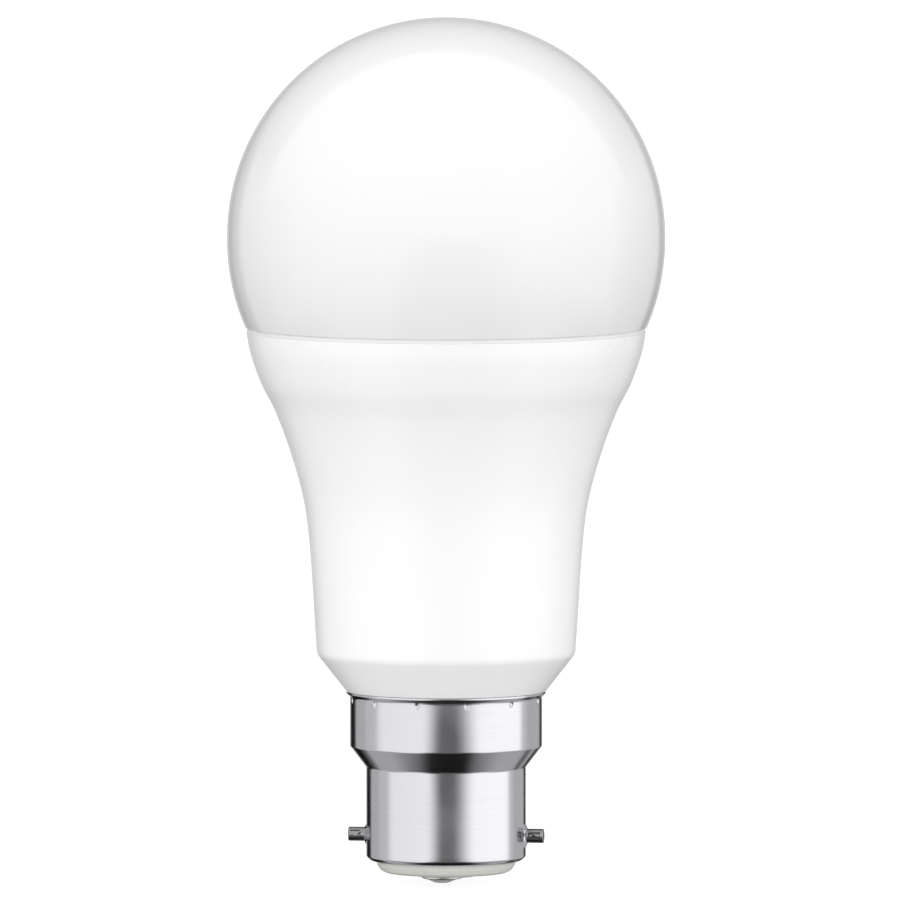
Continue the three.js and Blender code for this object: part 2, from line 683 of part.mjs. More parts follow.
function addDriver() {
  add("driver_board", driverBoard(), FR4_GREEN);
  const back = DRIVER_BACK_Y;
  const front = DRIVER_FRONT_Y;
  const [inputY, outputY] = [4.7, 5.2];
  const inputCan = add("input_capacitor", electrolytic(4, 12, inputY), CAPACITOR_SLEEVE);
  inputCan.position.set(4.2, front + inputY, 24.5);
  const outputCan = add("output_capacitor", electrolytic(4.6, 15, outputY), CAPACITOR_SLEEVE);
  outputCan.position.set(8, front + outputY, 42);
  const [coilX, coilY, coilZ] = [-5.6, front + 6.55, 50];
  add("transformer_core", transformerCore(), FERRITE).position.set(coilX, coilY, coilZ);
  add("transformer_bobbin", transformerBobbin(), BOBBIN_PLASTIC).position.set(coilX, coilY, coilZ);
  add("transformer_winding", transformerWinding(), COPPER).position.set(coilX, coilY, coilZ);
  const [chokeX, chokeY, chokeZ] = [-5, front + 4.4, 37];
  add("filter_choke_core", chokeCore(), FERRITE).position.set(chokeX, chokeY, chokeZ);
  add("filter_choke_winding", chokeWinding(), COPPER).position.set(chokeX, chokeY, chokeZ);
  add("film_capacitor", filmCapacitor(), FILM_YELLOW).position.set(3.5, back, 51);
  add("surge_varistor", varistor(), VARISTOR_BLUE).position.set(-5.4, back, 45);
  add("fusible_resistor", fusibleResistor(), RESISTOR_TAN).position.set(-5.6, front + 1.9, 27.5);
  add("bridge_rectifier", chipPackage(2, 1.6, 2.4, 2), BLACK_PLASTIC).position.set(-2.5, back, 33);
  add("driver_chip", chipPackage(2, 1.5, 2.5, 4), BLACK_PLASTIC).position.set(-7, back, 58);
}

// Insulated lead along a smooth curve, its bare end passing down into the contact's eyelet.
function lead(points) {
  const path = new THREE.CatmullRomCurve3(points.map((p) => new THREE.Vector3(...p)));
  const section = new THREE.Shape();
  section.absarc(0, 0, 0.65, 0, 2 * Math.PI);
  const sleeve = new THREE.ExtrudeGeometry(section, { steps: 12, extrudePath: path, curveSegments: 4 });
  const [, y, end] = points[points.length - 1];
  return join(sleeve, bar(0.3, [0, y], [CONTACT_PLATE_Z[0] + 0.05, end + 0.5], 8));
}

const LEAD_END_Z = 4.3;
const LIVE_ROUTE = [
  [-5.6, -1.65, 21.2],
  [-5.4, -0.6, 17.4],
  [-3.6, 3.0, 13.0],
  [-1.0, 4.4, 8.2],
  [0, CONTACT_Y, LEAD_END_Z],
];
const NEUTRAL_ROUTE = [
  [4.5, -4.4, 25.0],
  [4.8, -4.6, 20.5],
  [4.0, -4.9, 15.0],
  [1.4, -4.4, 9.0],
  [0, -CONTACT_Y, LEAD_END_Z],
];

// ---- cap ----------------------------------------------------------------------------------

// Drawn metal shell: flared lip, skirt, shoulder, shell and turned-in lower edge.
function capShell() {
  const outside = [
    point(TURNED_IN_RADIUS, TURNED_IN_Z),
    point(10.1, 2.72),
    point(10.55, 3.0),
    point(10.82, SHELL_BOTTOM_Z),
    point(SHELL_RADIUS, SHELL_BOTTOM_Z + 0.5),
    point(SHELL_RADIUS, SHOULDER_BOTTOM_Z - 0.6),
    point(SHELL_RADIUS + 0.15, SHOULDER_BOTTOM_Z),
    point(SKIRT_RADIUS - 0.35, SHOULDER_TOP_Z - 0.35),
    point(SKIRT_RADIUS, SHOULDER_TOP_Z + 0.15),
    point(SKIRT_RADIUS, LIP_TOP_Z - LIP_HEIGHT),
    point(LIP_RADIUS - 0.2, LIP_TOP_Z - 0.45),
    point(LIP_RADIUS, LIP_TOP_Z - LIP_EDGE),
    point(LIP_RADIUS, LIP_TOP_Z),
  ];
  const inside = [
    point(SKIRT_RADIUS - CAP_WALL, LIP_TOP_Z),
    point(SKIRT_RADIUS - CAP_WALL, SHOULDER_TOP_Z + 0.3),
    point(SKIRT_RADIUS - 0.35 - CAP_WALL, SHOULDER_TOP_Z - 0.15),
    point(SHELL_RADIUS + 0.15 - CAP_WALL, SHOULDER_BOTTOM_Z + 0.2),
    point(SHELL_RADIUS - CAP_WALL, SHOULDER_BOTTOM_Z - 0.5),
    point(SHELL_RADIUS - CAP_WALL, SHELL_BOTTOM_Z + 0.55),
    point(9.9, 3.1),
    point(TURNED_IN_RADIUS, 2.9),
  ];
  const punch = new THREE.SphereGeometry(STAKE_BALL, 8, 6);
  const markRadius = SKIRT_RADIUS + STAKE_BALL - STAKE_DEPTH;
  const markPlaces = onRing(STAKE_COUNT, markRadius, STAKE_PHASE - 90);
  const marks = markPlaces.map(({ x, y }) => punch.clone().translate(x, y, STAKE_Z));
  const pinHoles = [-1, 1].map((side) => {
    const drill = new THREE.CylinderGeometry(1.0, 1.0, 2, SMALL_SEGMENTS).rotateZ(Math.PI / 2);
    return drill.translate(side * SHELL_RADIUS, 0, PIN_Z);
  });
  return cut(ring([...outside, ...inside]), ...marks, ...pinHoles);
}

// Bayonet pin: riveted head inside the shell, shank through it, and a flared root outside.
function bayonetPin(side) {
  const outer = revolve(
    [
      point(0, 9.5),
      point(1.5, 9.5),
      point(1.5, SHELL_RADIUS + 0.1),
      point(1.22, SHELL_RADIUS + 0.3),
      point(1.03, SHELL_RADIUS + 0.6),
      point(PIN_RADIUS, SHELL_RADIUS + 0.95),
      point(PIN_RADIUS, PIN_TIP_X - 0.12),
      point(PIN_RADIUS - 0.12, PIN_TIP_X),
      point(0, PIN_TIP_X),
    ],
    SMALL_SEGMENTS,
  );
  const outside = bar(SHELL_RADIUS + 0.06, [0, 0], [-5, 5], 2 * SEGMENTS).rotateY(Math.PI / 2);
  const shank = bar(0.85, [0, 0], [9.6, 12]);
  const head = bar(1.5, [0, 0], [9.3, 10.15]);
  const pin = join(cut(outer, outside), shank, head);
  return pin.rotateY((side * Math.PI) / 2).translate(0, 0, PIN_Z);
}

// Outline of a contact plate, or of its pocket when it is grown by a gap.
function contactOval(side, gap = 0) {
  const oval = new THREE.Shape();
  const [halfX, halfY] = [CONTACT_HALF_X + gap, CONTACT_HALF_Y + gap];
  return oval.absellipse(0, side * CONTACT_Y, halfX, halfY, 0, 2 * Math.PI);
}

// Moulded insulator: closes the shell's lower end, stepped over the turned-in edge. Its underside
// swells to a low island in the middle, with a pocket for each contact plate.
function capInsulator() {
  const body = revolve([
    point(0, 0.45),
    point(3.3, 0.48),
    point(4.2, 0.6),
    point(5.2, 0.79),
    point(6.4, 0.95),
    point(8.3, 1.1),
    point(8.95, 1.4),
    point(9.35, 1.95),
    point(9.5, 2.5),
    point(9.5, 3.1),
    point(10.0, 3.6),
    point(10.35, 4.1),
    point(10.35, 4.5),
    point(8.6, 4.5),
    point(8.2, 3.9),
    point(0, 3.9),
  ]);
  const pockets = [-1, 1].map((side) => slab(contactOval(side, POCKET_GAP), 0, POCKET_FLOOR_Z, 16));
  const eyelets = [-1, 1].map((side) => bar(0.95, [0, side * CONTACT_Y], [0, 6]));
  return cut(body, ...pockets, ...eyelets);
}

// Oval contact plate with a tubular eyelet that passes up through the insulator.
function contactPlate(side) {
  const [low, high] = CONTACT_PLATE_Z;
  const plate = slab(contactOval(side), low, high - low, 16);
  const tube = bar(0.85, [0, side * CONTACT_Y], [low + 0.1, EYELET_TOP_Z]);
  const bore = bar(0.45, [0, side * CONTACT_Y], [low - 1, EYELET_TOP_Z + 1], 8);
  return cut(join(plate, tube), bore);
}

// Solder that fills the eyelet's mouth, domed with a flat land at z = 0.
function contactSolder(side) {
  const top = CONTACT_PLATE_Z[0] - STACK_GAP;
  const dome = revolve(
    [
      point(0, 0),
      point(SOLDER_LAND, 0),
      point(1.2, 0.1),
      point(1.65, 0.26),
      point(2.0, 0.43),
      point(SOLDER_RADIUS, top),
      point(0, top),
    ],
    SMALL_SEGMENTS,
  );
  return dome.translate(0, side * CONTACT_Y, 0);
}

// ---- assembly -----------------------------------------------------------------------------

add("diffuser_globe", globeShell(), OPAL);
add("globe_seal_ring", sealRing(), SILICONE);
add("housing_shell", housingShell(), HOUSING_WHITE);
add("heat_sink_cup", heatSinkCup(), ALUMINIUM);

add("heat_spreader_plate", stackLayer(PLATE_RADIUS, PLATE_Z, PLATE_THICKNESS, SCREW_SHANK + 0.1), ALUMINIUM);
add("thermal_pad", stackLayer(PAD_RADIUS, PAD_Z, PAD_THICKNESS, SCREW_SHANK + 0.4), THERMAL_GREY);
add("led_board", stackLayer(BOARD_RADIUS, BOARD_Z, BOARD_THICKNESS, SCREW_SHANK + 0.25), BOARD_WHITE);
addLeds();
addScrews();
add("led_board_socket", pinSocket(), BOARD_WHITE);
add("driver_pin_header", pinHeader(), BLACK_PLASTIC);

add("wireless_board", block([-RADIO_HALF_X, RADIO_HALF_X], RADIO_Y, RADIO_Z), RADIO_BLUE);
add("wireless_shield_can", shieldCan(), STEEL);
add("wireless_antenna", antennaTrace(), COPPER);
add("wireless_header", moduleHeader(), BLACK_PLASTIC);

addDriver();
add("live_lead", lead(LIVE_ROUTE), LIVE_BROWN);
add("neutral_lead", lead(NEUTRAL_ROUTE), NEUTRAL_BLUE);

add("cap_shell", capShell(), CAP_METAL);
add("bayonet_pin_left", bayonetPin(-1), CAP_METAL);
add("bayonet_pin_right", bayonetPin(1), CAP_METAL);
add("cap_insulator", capInsulator(), INSULATOR);
add("contact_plate_front", contactPlate(-1), TINNED);
add("contact_plate_back", contactPlate(1), TINNED);
add("contact_solder_front", contactSolder(-1), SOLDER);
add("contact_solder_back", contactSolder(1), SOLDER);

export default bulb;
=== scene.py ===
"""Looks of a smart LED bulb with a bayonet cap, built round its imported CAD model."""

import math
from functools import partial

import bmesh
import bpy
from mathutils import Matrix, Vector, noise


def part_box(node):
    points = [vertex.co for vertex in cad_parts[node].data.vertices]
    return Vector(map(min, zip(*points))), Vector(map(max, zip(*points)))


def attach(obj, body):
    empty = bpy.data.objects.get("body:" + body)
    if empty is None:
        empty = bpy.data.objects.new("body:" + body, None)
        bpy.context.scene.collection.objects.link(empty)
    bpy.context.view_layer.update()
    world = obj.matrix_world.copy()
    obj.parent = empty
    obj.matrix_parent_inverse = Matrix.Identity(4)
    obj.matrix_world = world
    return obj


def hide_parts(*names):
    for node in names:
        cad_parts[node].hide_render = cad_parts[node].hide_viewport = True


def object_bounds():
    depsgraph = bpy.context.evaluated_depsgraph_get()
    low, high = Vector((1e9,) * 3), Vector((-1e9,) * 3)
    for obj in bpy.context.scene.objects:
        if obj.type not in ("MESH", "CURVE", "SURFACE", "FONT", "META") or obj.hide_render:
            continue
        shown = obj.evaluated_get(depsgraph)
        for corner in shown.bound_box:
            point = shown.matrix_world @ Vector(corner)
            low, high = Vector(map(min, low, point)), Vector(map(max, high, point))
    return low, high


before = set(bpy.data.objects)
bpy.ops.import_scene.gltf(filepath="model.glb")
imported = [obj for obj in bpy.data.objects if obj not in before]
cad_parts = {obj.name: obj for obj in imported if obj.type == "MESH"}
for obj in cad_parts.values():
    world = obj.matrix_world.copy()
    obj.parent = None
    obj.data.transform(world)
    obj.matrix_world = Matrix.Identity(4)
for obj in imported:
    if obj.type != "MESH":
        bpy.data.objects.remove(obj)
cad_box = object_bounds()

MM = 0.001

# ---- sizes in millimetres, from the CAD nodes' boxes where they show there --------------------


def extent(node):
    """Lowest and highest corner of a CAD node, in millimetres."""
    low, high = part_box(node)
    return Vector(low) / MM, Vector(high) / MM


globe_low, globe_high = extent("diffuser_globe")
seal_low, seal_high = extent("globe_seal_ring")
housing_low, housing_high = extent("housing_shell")
cap_low, cap_high = extent("cap_shell")
pin_low, pin_high = extent("bayonet_pin_right")
insulator_low, insulator_high = extent("cap_insulator")
plate_low, plate_high = extent("contact_plate_front")
solder_high = extent("contact_solder_front")[1]

GLOBE_RADIUS = globe_high.x
GLOBE_CENTRE_Z = globe_high.z - GLOBE_RADIUS
GLOBE_BAND = 0.48  # straight band between the globe's two halves
GLOBE_WALL = 1.3
GLOBE_EDGE_RADIUS = 27.52  # the sphere runs on almost to its lower edge
GLOBE_EDGE_HEIGHT = 0.12
SPIGOT_RADIUS = 25.45  # the globe's rim inside the housing
SPIGOT_WALL = 1.1
SPIGOT_ROOT_Z = 77.2

RIM_Z = housing_high.z
RIM_RADIUS = housing_high.x
GLOBE_EDGE_Z = RIM_Z + 0.6
HOUSING_WALL = 1.2
WAIST_RADIUS = 17.72
WAIST_Z = 31.15  # slightly lower than in the CAD model
WAIST_FILLET = 1.8
CONE_BOTTOM_RADIUS = 13.72
CONE_BOTTOM_Z = 26.05
FIT = 0.15
BOARD_NECK_HALF = 9.4  # half width of the driver board where it is inside the neck
RAIL_GAP = 0.85  # from the middle of the driver board to each rail that guides it
RAIL_THICKNESS = 1.0

CAP_WALL = 0.4
LIP_RADIUS = cap_high.x
LIP_TOP_Z = cap_high.z
SKIRT_RADIUS = 13.18
SHOULDER_TOP_Z = 18.5
SHOULDER_BOTTOM_Z = 15.75
SHELL_RADIUS = 10.95
SHELL_BOTTOM_Z = 3.45
TURNED_IN_RADIUS = 9.65  # lower edge, crimped round the insulator
TURNED_IN_LIFT = 0.15  # above the CAD node's lowest point
NECK_RADIUS = SKIRT_RADIUS - CAP_WALL - FIT
NECK_BORE = NECK_RADIUS - 1.4

MARK_COUNT = 12  # punch marks under the lip
MARK_PHASE = 20.7  # degrees from -Y to the first
MARK_Z = 24.9
MARK_DEPTH = 0.22
MARK_WIDTH = 0.37  # half width
MARK_HEIGHT = 0.44  # half height

PIN_RADIUS = 0.97
PIN_TIP_X = pin_high.x
PIN_Z = (pin_low.z + pin_high.z) / 2
PIN_HOLE = 1.0
PIN_HEAD_RADIUS = 1.5
PIN_HEAD_X = 9.35  # inner face of the head, which is inside the shell
PIN_HEAD_END_X = 10.15
PIN_MARKS = {-1: (0.95, 0.36, 0.14), 1: (0.8, 0.34, 0.5)}  # half length, half width, depth by side
PIN_MARK_LIFT = 0.26  # radians from the pin's front up to its mark
BOSS_RADIUS = 2.1  # metal drawn out round each pin
BOSS_HEIGHT = 0.34

CONTACT_Y = -(plate_low.y + plate_high.y) / 2
CONTACT_HALF_X = plate_high.x
CONTACT_HALF_Y = (plate_high.y - plate_low.y) / 2
PLATE_TOP_Z = 0.95
POCKET_FLOOR_Z = 0.99
POCKET_GAP = 0.15  # round each contact plate, in the insulator
SOLDER_RADIUS = solder_high.x
SOLDER_LAND = 0.75
EYELET_RADIUS = 0.85
EYELET_HOLE = 0.95

COLUMNS = 192

# ---- profiles ---------------------------------------------------------------------------------


def arc(centre_r, centre_z, radius, start, end, steps):
    """Points of an arc, both ends included. Angles are in degrees from +r towards +z."""
    angles = [math.radians(start + (end - start) * i / steps) for i in range(steps + 1)]
    return [(centre_r + radius * math.cos(a), centre_z + radius * math.sin(a)) for a in angles]


def rounded(corners, closed=True, steps=6):
    """A profile from corners (r, z) or (r, z, fillet radius), its fillets turned into arcs."""
    points = []
    count = len(corners)
    for i, corner in enumerate(corners):
        here = Vector(corner[:2])
        fillet = corner[2] if len(corner) > 2 else 0
        inside = closed or 0 < i < count - 1
        if fillet <= 0 or not inside:
            points.append(tuple(here))
            continue
        before = Vector(corners[i - 1][:2]) - here
        after = Vector(corners[(i + 1) % count][:2]) - here
        half = before.angle(after) / 2
        reach = min(fillet / math.tan(half), before.length * 0.49, after.length * 0.49)
        radius = reach * math.tan(half)
        middle = (before.normalized() + after.normalized()).normalized()
        centre = here + middle * (radius / math.sin(half))
        start = here + before.normalized() * reach - centre
        turn = start.angle_signed(here + after.normalized() * reach - centre)
        for k in range(steps + 1):
            swung = start.copy()
            swung.rotate(Matrix.Rotation(-turn * k / steps, 2))
            points.append(tuple(centre + swung))
    return points


def spline(corners, steps):
    """A smooth curve through the corners, as the CAD model's wall has it."""
    knots = [Vector(c) for c in corners]
    points = []
    for i in range(len(knots) - 1):
        before, start = knots[max(i - 1, 0)], knots[i]
        end, after = knots[i + 1], knots[min(i + 2, len(knots) - 1)]
        leave, arrive = (end - before) / 2, (after - start) / 2
        for k in range(steps):
            t = k / steps
            p = (2 * start - 2 * end + leave + arrive) * t ** 3
            p += (3 * end - 3 * start - 2 * leave - arrive) * t ** 2
            points.append(tuple(p + leave * t + start))
    points.append(tuple(knots[-1]))
    return points


def subdivided(profile, longest):
    """The profile with points added, so that no step is longer than `longest`."""
    points = []
    for here, there in zip(profile, profile[1:]):
        step = Vector(there) - Vector(here)
        pieces = max(1, math.ceil(step.length / longest))
        points += [tuple(Vector(here) + step * k / pieces) for k in range(pieces)]
    return points + [profile[-1]]


def offset(profile, distance):
    """Each point moved to the left of the way the profile runs."""
    moved = []
    for i, p in enumerate(profile):
        before = Vector(profile[max(i - 1, 0)])
        after = Vector(profile[min(i + 1, len(profile) - 1)])
        along = (after - before).normalized()
        moved.append((p[0] - along.y * distance, p[1] + along.x * distance))
    return moved


def smooth(value, low, high):
    """0 below low, 1 above high, and a smooth rise between them."""
    t = min(max((value - low) / (high - low), 0), 1)
    return t * t * (3 - 2 * t)


# ---- meshes -----------------------------------------------------------------------------------


def finish_mesh(piece, crease=35):
    """Faces turned outwards and shaded smooth, except over sharp edges."""
    bm = bmesh.new()
    bm.from_mesh(piece.data)
    bmesh.ops.remove_doubles(bm, verts=bm.verts, dist=1e-7)
    bmesh.ops.recalc_face_normals(bm, faces=bm.faces)
    for face in bm.faces:
        face.smooth = True
    bm.to_mesh(piece.data)
    bm.free()
    piece.data.set_sharp_from_angle(angle=math.radians(crease))


def even_columns(count=COLUMNS):
    return [2 * math.pi * i / count for i in range(count)]


def revolve(name, profile, columns=None, warp=None):
    """A profile in millimetres turned round Z. It closes on itself, or starts and ends on the axis.
    warp(x, y, z) may move each point."""
    columns = columns or even_columns()
    closed = profile[0][0] > 1e-6
    verts, rings, faces = [], [], []
    for r, z in profile:
        angles = columns if r > 1e-6 else [0]
        rings.append(range(len(verts), len(verts) + len(angles)))
        for a in angles:
            place = (r * math.cos(a), r * math.sin(a), z)
            verts.append(Vector(warp(*place) if warp else place) * MM)
    steps = list(zip(rings, rings[1:])) + ([(rings[-1], rings[0])] if closed else [])
    for low, high in steps:
        for i in range(len(columns)):
            j = (i + 1) % len(columns)
            corners = [low[i % len(low)], low[j % len(low)], high[j % len(high)], high[i % len(high)]]
            faces.append(list(dict.fromkeys(corners)))
    mesh = bpy.data.meshes.new(name)
    mesh.from_pydata(verts, [], faces)
    piece = bpy.data.objects.new(name, mesh)
    bpy.context.scene.collection.objects.link(piece)
    finish_mesh(piece)
    return piece


def bar(name, radius, low, high, columns=32):
    """A solid rod along Z."""
    profile = [(0, low), (radius, low), (radius, high), (0, high)]
    return revolve(name, profile, even_columns(columns))


def soft_block(name, low, high, bevel, segments):
    """A box between two corners with rounded edges."""
    bm = bmesh.new()
    bmesh.ops.create_cube(bm, size=1)
    size = Vector(high) - Vector(low)
    middle = (Vector(high) + Vector(low)) / 2
    for v in bm.verts:
        v.co = Vector((v.co.x * size.x, v.co.y * size.y, v.co.z * size.z)) + middle
        v.co *= MM
    bmesh.ops.bevel(bm, geom=bm.edges, offset=bevel * MM, segments=segments, affect="EDGES")
    mesh = bpy.data.meshes.new(name)
    bm.to_mesh(mesh)
    bm.free()
    piece = bpy.data.objects.new(name, mesh)
    bpy.context.scene.collection.objects.link(piece)
    return piece


def turned(piece, angle, axis, shift=(0, 0, 0)):
    """The piece's mesh rotated about the origin, then moved by millimetres."""
    move = Matrix.Translation(Vector(shift) * MM)
    piece.data.transform(move @ Matrix.Rotation(math.radians(angle), 4, axis))
    piece.data.update()
    return piece


def combine(piece, tool, operation):
    """Adds a tool to the piece or cuts it out, and removes the tool."""
    modifier = piece.modifiers.new("combine", "BOOLEAN")
    modifier.object = tool
    modifier.operation = operation
    modifier.solver = "EXACT"
    shape = piece.evaluated_get(bpy.context.evaluated_depsgraph_get())
    mesh = bpy.data.meshes.new_from_object(shape)
    piece.modifiers.clear()
    piece.data = mesh
    bpy.data.objects.remove(tool)
    finish_mesh(piece)


def place(piece, slot, *nodes):
    """Fixes the piece to the bulb's one body and hides the CAD nodes that it stands for. The slot
    argument is not used.
    """
    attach(piece, "root")
    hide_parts(*nodes)
    return piece


# ---- materials --------------------------------------------------------------------------------


class Graph:
    """Adds nodes to a tree. Inputs are given by name or number, as values or as other sockets."""

    def __init__(self, tree):
        self.tree = tree

    def node(self, kind, inputs=None, out=0, **settings):
        made = self.tree.nodes.new("ShaderNode" + kind)
        for key, value in settings.items():
            setattr(made, key, value)
        for key, value in (inputs or {}).items():
            if isinstance(value, bpy.types.NodeSocket):
                self.tree.links.new(value, made.inputs[key])
            else:
                made.inputs[key].default_value = value
        return None if out is None else made.outputs[out]

    def math(self, operation, a, b=0.0, clamp=False):
        return self.node("Math", {0: a, 1: b}, operation=operation, use_clamp=clamp)

    def span(self, value, low, high, start, end, smooth_step=False):
        """The value mapped from low..high to start..end, and held there outside them."""
        kind = "SMOOTHSTEP" if smooth_step else "LINEAR"
        inputs = {"Value": value, "From Min": low, "From Max": high, "To Min": start, "To Max": end}
        return self.node("MapRange", inputs, interpolation_type=kind)

    def noise(self, where, scale, detail=3.0, roughness=0.5, stretch=(1, 1, 1)):
        moved = self.node("Mapping", {"Vector": where, "Scale": stretch})
        inputs = {"Vector": moved, "Scale": scale, "Detail": detail, "Roughness": roughness}
        return self.node("TexNoise", inputs)

    def blend(self, factor, a, b):
        return self.node("Mix", {0: factor, 6: a, 7: b}, out=2, data_type="RGBA")

    def bump(self, height, depth, normal=None):
        inputs = {"Strength": 1.0, "Distance": depth, "Height": height}
        if normal is not None:
            inputs["Normal"] = normal
        return self.node("Bump", inputs)


def new_material(name):
    material = bpy.data.materials.new(name)
    material.use_nodes = True
    graph = Graph(material.node_tree)
    shader = material.node_tree.nodes["Principled BSDF"]
    where = graph.node("TexCoord", out=3)
    return material, graph, shader, where


def connect(graph, shader, **sockets):
    """Links outputs to the shader's inputs, named with underscores for spaces."""
    for name, socket in sockets.items():
        graph.tree.links.new(socket, shader.inputs[name.replace("_", " ")])


def shade(colour, factor):
    return tuple(min(1.0, c * factor) for c in colour[:3]) + (1.0,)


def moulded(name, colour, roughness, grain, depth, vary, stretch=(1, 1, 1), metallic=0.0):
    """General finish: two close tones in soft clouds, a fine grain in gloss and relief."""
    material, graph, shader, where = new_material(name)
    clouds = graph.noise(where, 130, 3.0, 0.55)
    fine = graph.noise(where, grain, 5.0, 0.6, stretch)
    tone = graph.math("ADD", graph.math("MULTIPLY", clouds, 0.6), graph.math("MULTIPLY", fine, 0.4))
    mixed = graph.blend(graph.span(tone, 0.35, 0.65, 0.0, 1.0),
                        shade(colour, 1 - vary), shade(colour, 1 + vary))
    gloss = graph.span(tone, 0.3, 0.7, roughness[0], roughness[1])
    connect(graph, shader, Base_Color=mixed, Roughness=gloss, Normal=graph.bump(fine, depth))
    shader.inputs["Metallic"].default_value = metallic
    return material


def opal():
    """Opal plastic: a glossy skin with a faint moulding swirl and hairline handling marks."""
    material, graph, shader, where = new_material("opal_plastic")
    swirl = graph.noise(where, 45, 2.0, 0.5, (1, 1, 0.5))
    fine = graph.noise(where, 700, 3.0, 0.5)
    mixed = graph.blend(graph.span(swirl, 0.3, 0.7, 0.0, 1.0),
                        (0.852, 0.853, 0.852, 1), (0.868, 0.868, 0.866, 1))
    gloss = graph.span(graph.math("ADD", swirl, fine), 0.7, 1.3, 0.10, 0.145)
    connect(graph, shader, Base_Color=mixed, Roughness=gloss, Normal=graph.bump(fine, 1.2e-6))
    return material


def housing_plastic():
    """White housing: a satin moulded skin with an even fine texture."""
    material, graph, shader, where = new_material("housing_plastic")
    clouds = graph.noise(where, 60, 3.0, 0.5)
    grain = graph.noise(where, 1800, 2.0, 0.5)
    mixed = graph.blend(graph.span(clouds, 0.3, 0.7, 0.0, 1.0),
                        (0.95, 0.95, 0.948, 1), (0.964, 0.964, 0.962, 1))
    gloss = graph.span(graph.math("ADD", clouds, grain), 0.7, 1.3, 0.27, 0.32)
    connect(graph, shader, Base_Color=mixed, Roughness=gloss, Normal=graph.bump(grain, 4e-7))
    return material


def cap_metal(name, tone, roughness):
    """Plated sheet: faint rings from spinning, a fine even grain, soft smudges and a few dull specks."""
    material, graph, shader, where = new_material(name)
    rings = graph.noise(where, 1.0, 3.0, 0.6, (60, 60, 3600))
    grain = graph.noise(where, 3400, 2.0, 0.5)
    smudge = graph.noise(where, 170, 3.0, 0.5)
    specks = graph.span(graph.noise(where, 1500, 2.0, 0.5), 0.68, 0.78, 0.0, 1.0)
    lines = graph.math("ADD", graph.math("MULTIPLY", rings, 0.6), graph.math("MULTIPLY", grain, 0.4))
    tint = graph.blend(graph.span(lines, 0.35, 0.65, 0.0, 1.0), shade(tone, 0.98), shade(tone, 1.02))
    tint = graph.blend(graph.math("MULTIPLY", specks, 0.15), tint, shade(tone, 0.7))
    gloss = graph.span(smudge, 0.35, 0.65, roughness[0], roughness[1])
    connect(graph, shader, Base_Color=tint, Roughness=gloss, Normal=graph.bump(lines, 8e-7))
    shader.inputs["Metallic"].default_value = 1.0
    return material


def pin_metal(name):
    """Plated rod: darker than the sheet, with drawn streaks along it and worn patches."""
    material, graph, shader, where = new_material(name)
    streaks = graph.noise(where, 1.0, 4.0, 0.6, (260, 4200, 4200))
    patches = graph.noise(where, 700, 3.0, 0.55)
    worn = graph.math("ADD", graph.math("MULTIPLY", streaks, 0.6), graph.math("MULTIPLY", patches, 0.4))
    tint = graph.blend(graph.span(worn, 0.35, 0.65, 0.0, 1.0),
                       (0.26, 0.26, 0.27, 1), (0.42, 0.42, 0.43, 1))
    gloss = graph.span(worn, 0.35, 0.65, 0.13, 0.22)
    connect(graph, shader, Base_Color=tint, Roughness=gloss, Normal=graph.bump(streaks, 6e-6))
    shader.inputs["Metallic"].default_value = 1.0
    return material


def solder_metal():
    """Solder: dull and oxidised, so only partly metallic, with brighter rubbed patches."""
    material, graph, shader, where = new_material("solder_metal")
    patches = graph.noise(where, 650, 4.0, 0.6)
    scratches = graph.noise(where, 1.0, 3.0, 0.6, (5200, 400, 400))
    tint = graph.blend(graph.span(patches, 0.35, 0.65, 0.0, 1.0),
                       (0.55, 0.55, 0.54, 1), (0.7, 0.7, 0.68, 1))
    gloss = graph.span(patches, 0.35, 0.65, 0.52, 0.36)
    relief = graph.bump(patches, 4e-5, graph.bump(scratches, 8e-6))
    connect(graph, shader, Base_Color=tint, Roughness=gloss, Normal=relief)
    shader.inputs["Metallic"].default_value = 0.3
    return material


# ---- outer pieces -----------------------------------------------------------------------------


def make_globe():
    lower_centre = GLOBE_CENTRE_Z - GLOBE_BAND
    inner = GLOBE_RADIUS - GLOBE_WALL
    bore = SPIGOT_RADIUS - SPIGOT_WALL
    edge_angle = math.degrees(math.asin((GLOBE_EDGE_Z + GLOBE_EDGE_HEIGHT - lower_centre) / GLOBE_RADIUS))
    root_angle = math.degrees(math.asin((SPIGOT_ROOT_Z - lower_centre) / inner))
    spigot = rounded([
        (bore, SPIGOT_ROOT_Z - 0.2),
        (bore, globe_low.z, 0.15),
        (SPIGOT_RADIUS, globe_low.z, 0.45),
        (SPIGOT_RADIUS, GLOBE_EDGE_Z, 0.1),
        (GLOBE_EDGE_RADIUS, GLOBE_EDGE_Z, 0.06),
        arc(0, lower_centre, GLOBE_RADIUS, edge_angle, 0, 1)[0],
    ], closed=False)
    profile = (
        [(0, GLOBE_CENTRE_Z + inner)]
        + arc(0, GLOBE_CENTRE_Z, inner, 87, 0, 24)
        + arc(0, lower_centre, inner, 0, root_angle, 7)
        + subdivided(spigot, 1.5)
        + arc(0, lower_centre, GLOBE_RADIUS, edge_angle, 0, 12)[1:]
        + arc(0, GLOBE_CENTRE_Z, GLOBE_RADIUS, 0, 88.5, 48)
        + [(0, GLOBE_CENTRE_Z + GLOBE_RADIUS)]
    )
    globe = revolve("globe", profile)
    globe.data.materials.append(opal())
    return place(globe, "opal", "diffuser_globe")


def make_seal():
    inner = SPIGOT_RADIUS + 0.1
    low, high = seal_low.z - 0.02, seal_high.z + 0.02
    profile = rounded([
        (inner, low),
        (seal_high.x, low, 0.06),
        (seal_high.x, high, 0.1),
        (inner, high),
    ])
    seal = revolve("seal_ring", profile)
    seal.data.materials.append(moulded("silicone", (0.86, 0.86, 0.85), (0.45, 0.6), 1500, 8e-6, 0.02))
    return place(seal, "silicone", "globe_seal_ring")


